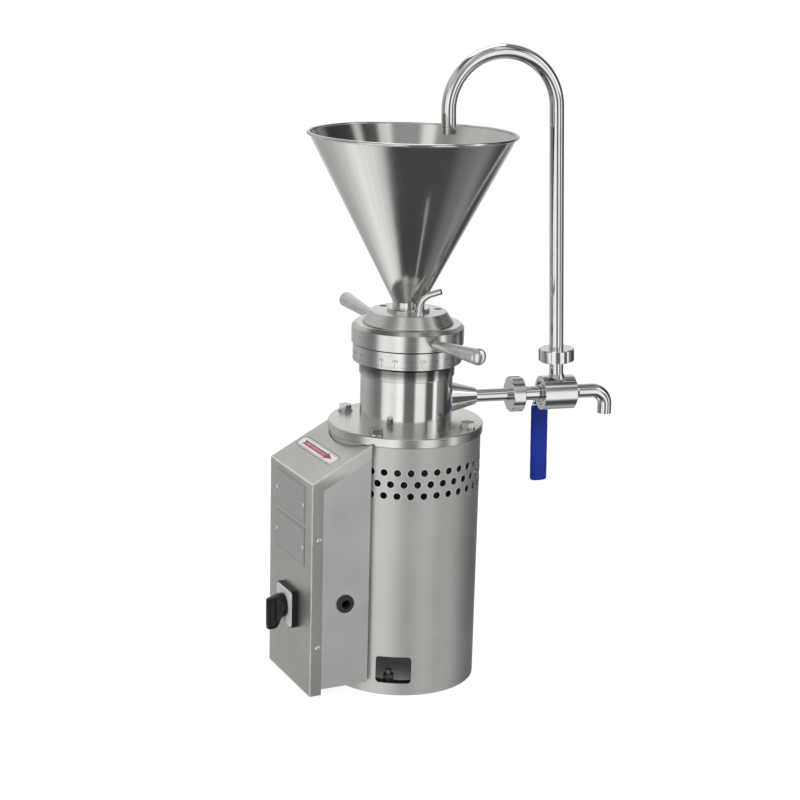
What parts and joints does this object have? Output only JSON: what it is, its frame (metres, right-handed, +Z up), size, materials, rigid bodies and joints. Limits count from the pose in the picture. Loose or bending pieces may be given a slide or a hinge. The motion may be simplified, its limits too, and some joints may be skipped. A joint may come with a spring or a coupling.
{
  "type": "colloid mill",
  "caption": "Vertical colloid mill: perforated drum with motor, grinding head with adjusting dial, hopper, three-way valve, return tube and control box.",
  "frame": {"origin": "centre of the hold-down bolt circle on the floor, under the drum's axis", "axes": "+Z up along the mill's axis, -X towards the control box, outlet 10 degrees off +X towards -Y"},
  "size_m": [0.4818, 0.3842, 0.84],
  "materials": {
    "stainless": "brushed stainless steel",
    "fastener": "bright stainless fasteners",
    "tool_steel": "ground steel",
    "plain_steel": "dark plain steel",
    "motor_paint": "grey motor paint",
    "laminated_iron": "laminated iron",
    "winding": "varnished copper",
    "black_rubber": "soft black rubber",
    "black_plastic": "black moulded plastic",
    "white_plastic": "white seal plastic",
    "blue_vinyl": "dipped blue vinyl",
    "bare_plate": "bare satin plate",
    "arrow_label": "white label with a plain arrow"
  },
  "bodies": {
    "frame": {"drum": "stainless", "base_ring": "plain_steel", "earth_stud": "fastener", "top_ring": "plain_steel", "plate": "stainless", "plate_washers": "fastener", "plate_bolts": "fastener", "mill_body": "stainless", "outlet_pipe": "stainless", "pipe_nut": "stainless", "valve_body": "stainless", "valve_seats": "white_plastic", "valve_bonnet": "stainless", "tube_nut": "stainless", "return_tube": "stainless", "spout": "stainless", "seal_seat": "white_plastic", "motor_flange": "motor_paint", "flange_bolts": "fastener", "motor_frame": "motor_paint", "stator_core": "laminated_iron", "windings": "winding", "lower_shield": "motor_paint", "bearings": "tool_steel", "fan_cowl": "motor_paint", "box_shell": "stainless", "box_cover": "stainless", "cover_screws": "fastener", "name_plates": "bare_plate", "rivets": "fastener", "arrow_plate": "arrow_label", "switch_base": "black_plastic", "switch_plate": "bare_plate", "switch_block": "black_plastic", "grommet": "black_rubber"},
    "spindle": {"shaft": "tool_steel", "rotor_key": "tool_steel", "motor_rotor": "laminated_iron", "fan": "black_plastic", "seal_ring": "black_plastic", "seal_spring": "tool_steel", "rotor": "tool_steel", "rotor_cap": "tool_steel"},
    "stator_carrier": {"cover": "stainless", "stator": "tool_steel", "cover_oring": "black_rubber", "guide_pins": "fastener", "hopper_neck": "stainless", "hopper": "stainless", "coolant_nipple": "stainless"},
    "dial": {"dial_ring": "stainless", "handle_ring": "stainless", "handle_studs": "stainless", "handle_grips": "stainless"},
    "valve_handle": {"valve_ball": "stainless", "valve_stem": "stainless", "lever": "stainless", "lever_sleeve": "blue_vinyl", "lever_nut": "fastener"},
    "switch": {"switch_knob": "black_plastic"}
  },
  "joints": [
    {"name": "spindle_spin", "type": "hinge", "parent": "frame", "child": "spindle", "pos_m": [0, 0, 0.3], "axis": [0, 0, 1], "continuous": true},
    {"name": "stator_lift", "type": "slide", "parent": "frame", "child": "stator_carrier", "axis": [0, 0, 1], "range_m": [0, 0.0021]},
    {"name": "dial_turn", "type": "hinge", "parent": "stator_carrier", "child": "dial", "pos_m": [0, 0, 0.456], "axis": [0, 0, 1], "range_deg": [0, 300]},
    {"name": "valve_turn", "type": "hinge", "parent": "frame", "child": "valve_handle", "pos_m": [0.20779, -0.03664, 0.378], "axis": [-0.1736, -0.9848, 0], "range_deg": [0, 90]},
    {"name": "switch_turn", "type": "hinge", "parent": "frame", "child": "switch", "pos_m": [-0.1712, 0, 0.114], "axis": [-1, 0, 0], "range_deg": [0, 90]}
  ],
  "couplings": [
    {"joint": "stator_lift", "follows": "dial_turn", "m_per_rad": 0.00039789}
  ]
}
